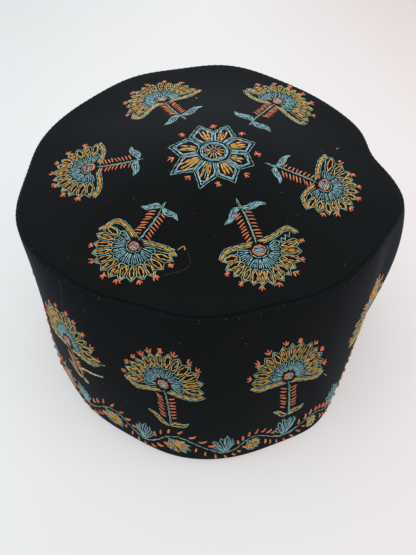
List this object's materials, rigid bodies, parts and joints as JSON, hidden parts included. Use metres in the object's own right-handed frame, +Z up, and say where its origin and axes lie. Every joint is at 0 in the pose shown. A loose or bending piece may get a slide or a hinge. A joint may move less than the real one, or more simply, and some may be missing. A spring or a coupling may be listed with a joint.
{
  "type": "embroidered cap",
  "caption": "Round black cloth cap with a domed crown disc and an upright side band, open below, embroidered with fan-shaped flowers and a vine border.",
  "frame": {"origin": "bottom centre of the cap's box, on the floor that its rim rests on", "axes": "+Z up, -Y the front of the cap, +X to its wearer's left; the cap is longest along Y"},
  "size_m": [0.181, 0.2001, 0.0986],
  "materials": {
    "crown_cloth": "matte black cotton twill",
    "band_cloth": "matte black cotton twill"
  },
  "bodies": {
    "root": {"crown_top": "crown_cloth", "side_band": "band_cloth"}
  },
  "joints": []
}
